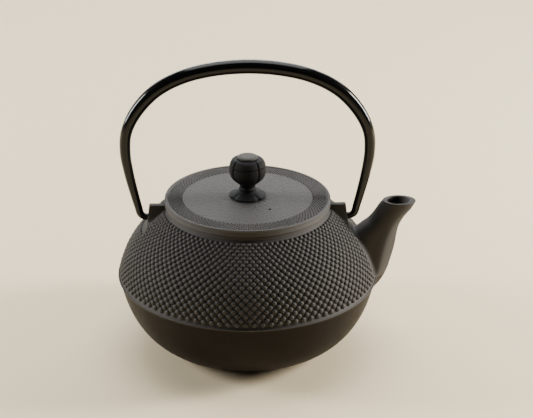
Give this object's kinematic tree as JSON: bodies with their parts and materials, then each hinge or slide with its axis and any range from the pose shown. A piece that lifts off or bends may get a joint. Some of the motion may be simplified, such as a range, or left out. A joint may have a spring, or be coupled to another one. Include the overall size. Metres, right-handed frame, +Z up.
{
  "type": "teapot with infuser",
  "caption": "Cast-iron teapot with a studded shoulder, short spout, lift-off lid, swinging bail handle and a steel basket infuser.",
  "frame": {"origin": "centre of the flat base, on the surface the pot stands on", "axes": "+Z up along the pot's axis, +X towards the spout, +Y towards the side away from the usual viewer"},
  "size_m": [0.1917, 0.168, 0.1916],
  "materials": {
    "cast_iron": "matt studded cast iron, brown black",
    "lid_iron": "matt cast iron, grey black",
    "knob_black": "satin black lacquer",
    "rivet_iron": "satin, bare grey",
    "bail_lacquer": "gloss black",
    "stainless_steel": "brushed"
  },
  "bodies": {
    "pot": {"pot_body": "cast_iron"},
    "handle": {"bail_handle": "bail_lacquer"},
    "infuser": {"infuser_rim": "stainless_steel", "infuser_mesh_wall": "stainless_steel", "infuser_base_band": "stainless_steel", "infuser_mesh_floor": "stainless_steel"},
    "lid": {"lid": "lid_iron", "knob": "knob_black", "knob_rivet": "rivet_iron", "rivet_washer": "rivet_iron"}
  },
  "joints": [
    {"name": "handle_swing", "type": "hinge", "parent": "pot", "child": "handle", "pos_m": [0, 0, 0.0863], "axis": [1, 0, 0], "range_deg": [-118, 118]},
    {"name": "infuser_lift", "type": "slide", "parent": "pot", "child": "infuser", "axis": [0, 0, 1], "range_m": [0, 0.053]},
    {"name": "lid_lift", "type": "slide", "parent": "infuser", "child": "lid", "axis": [0, 0, 1], "range_m": [0, 0.053]}
  ]
}
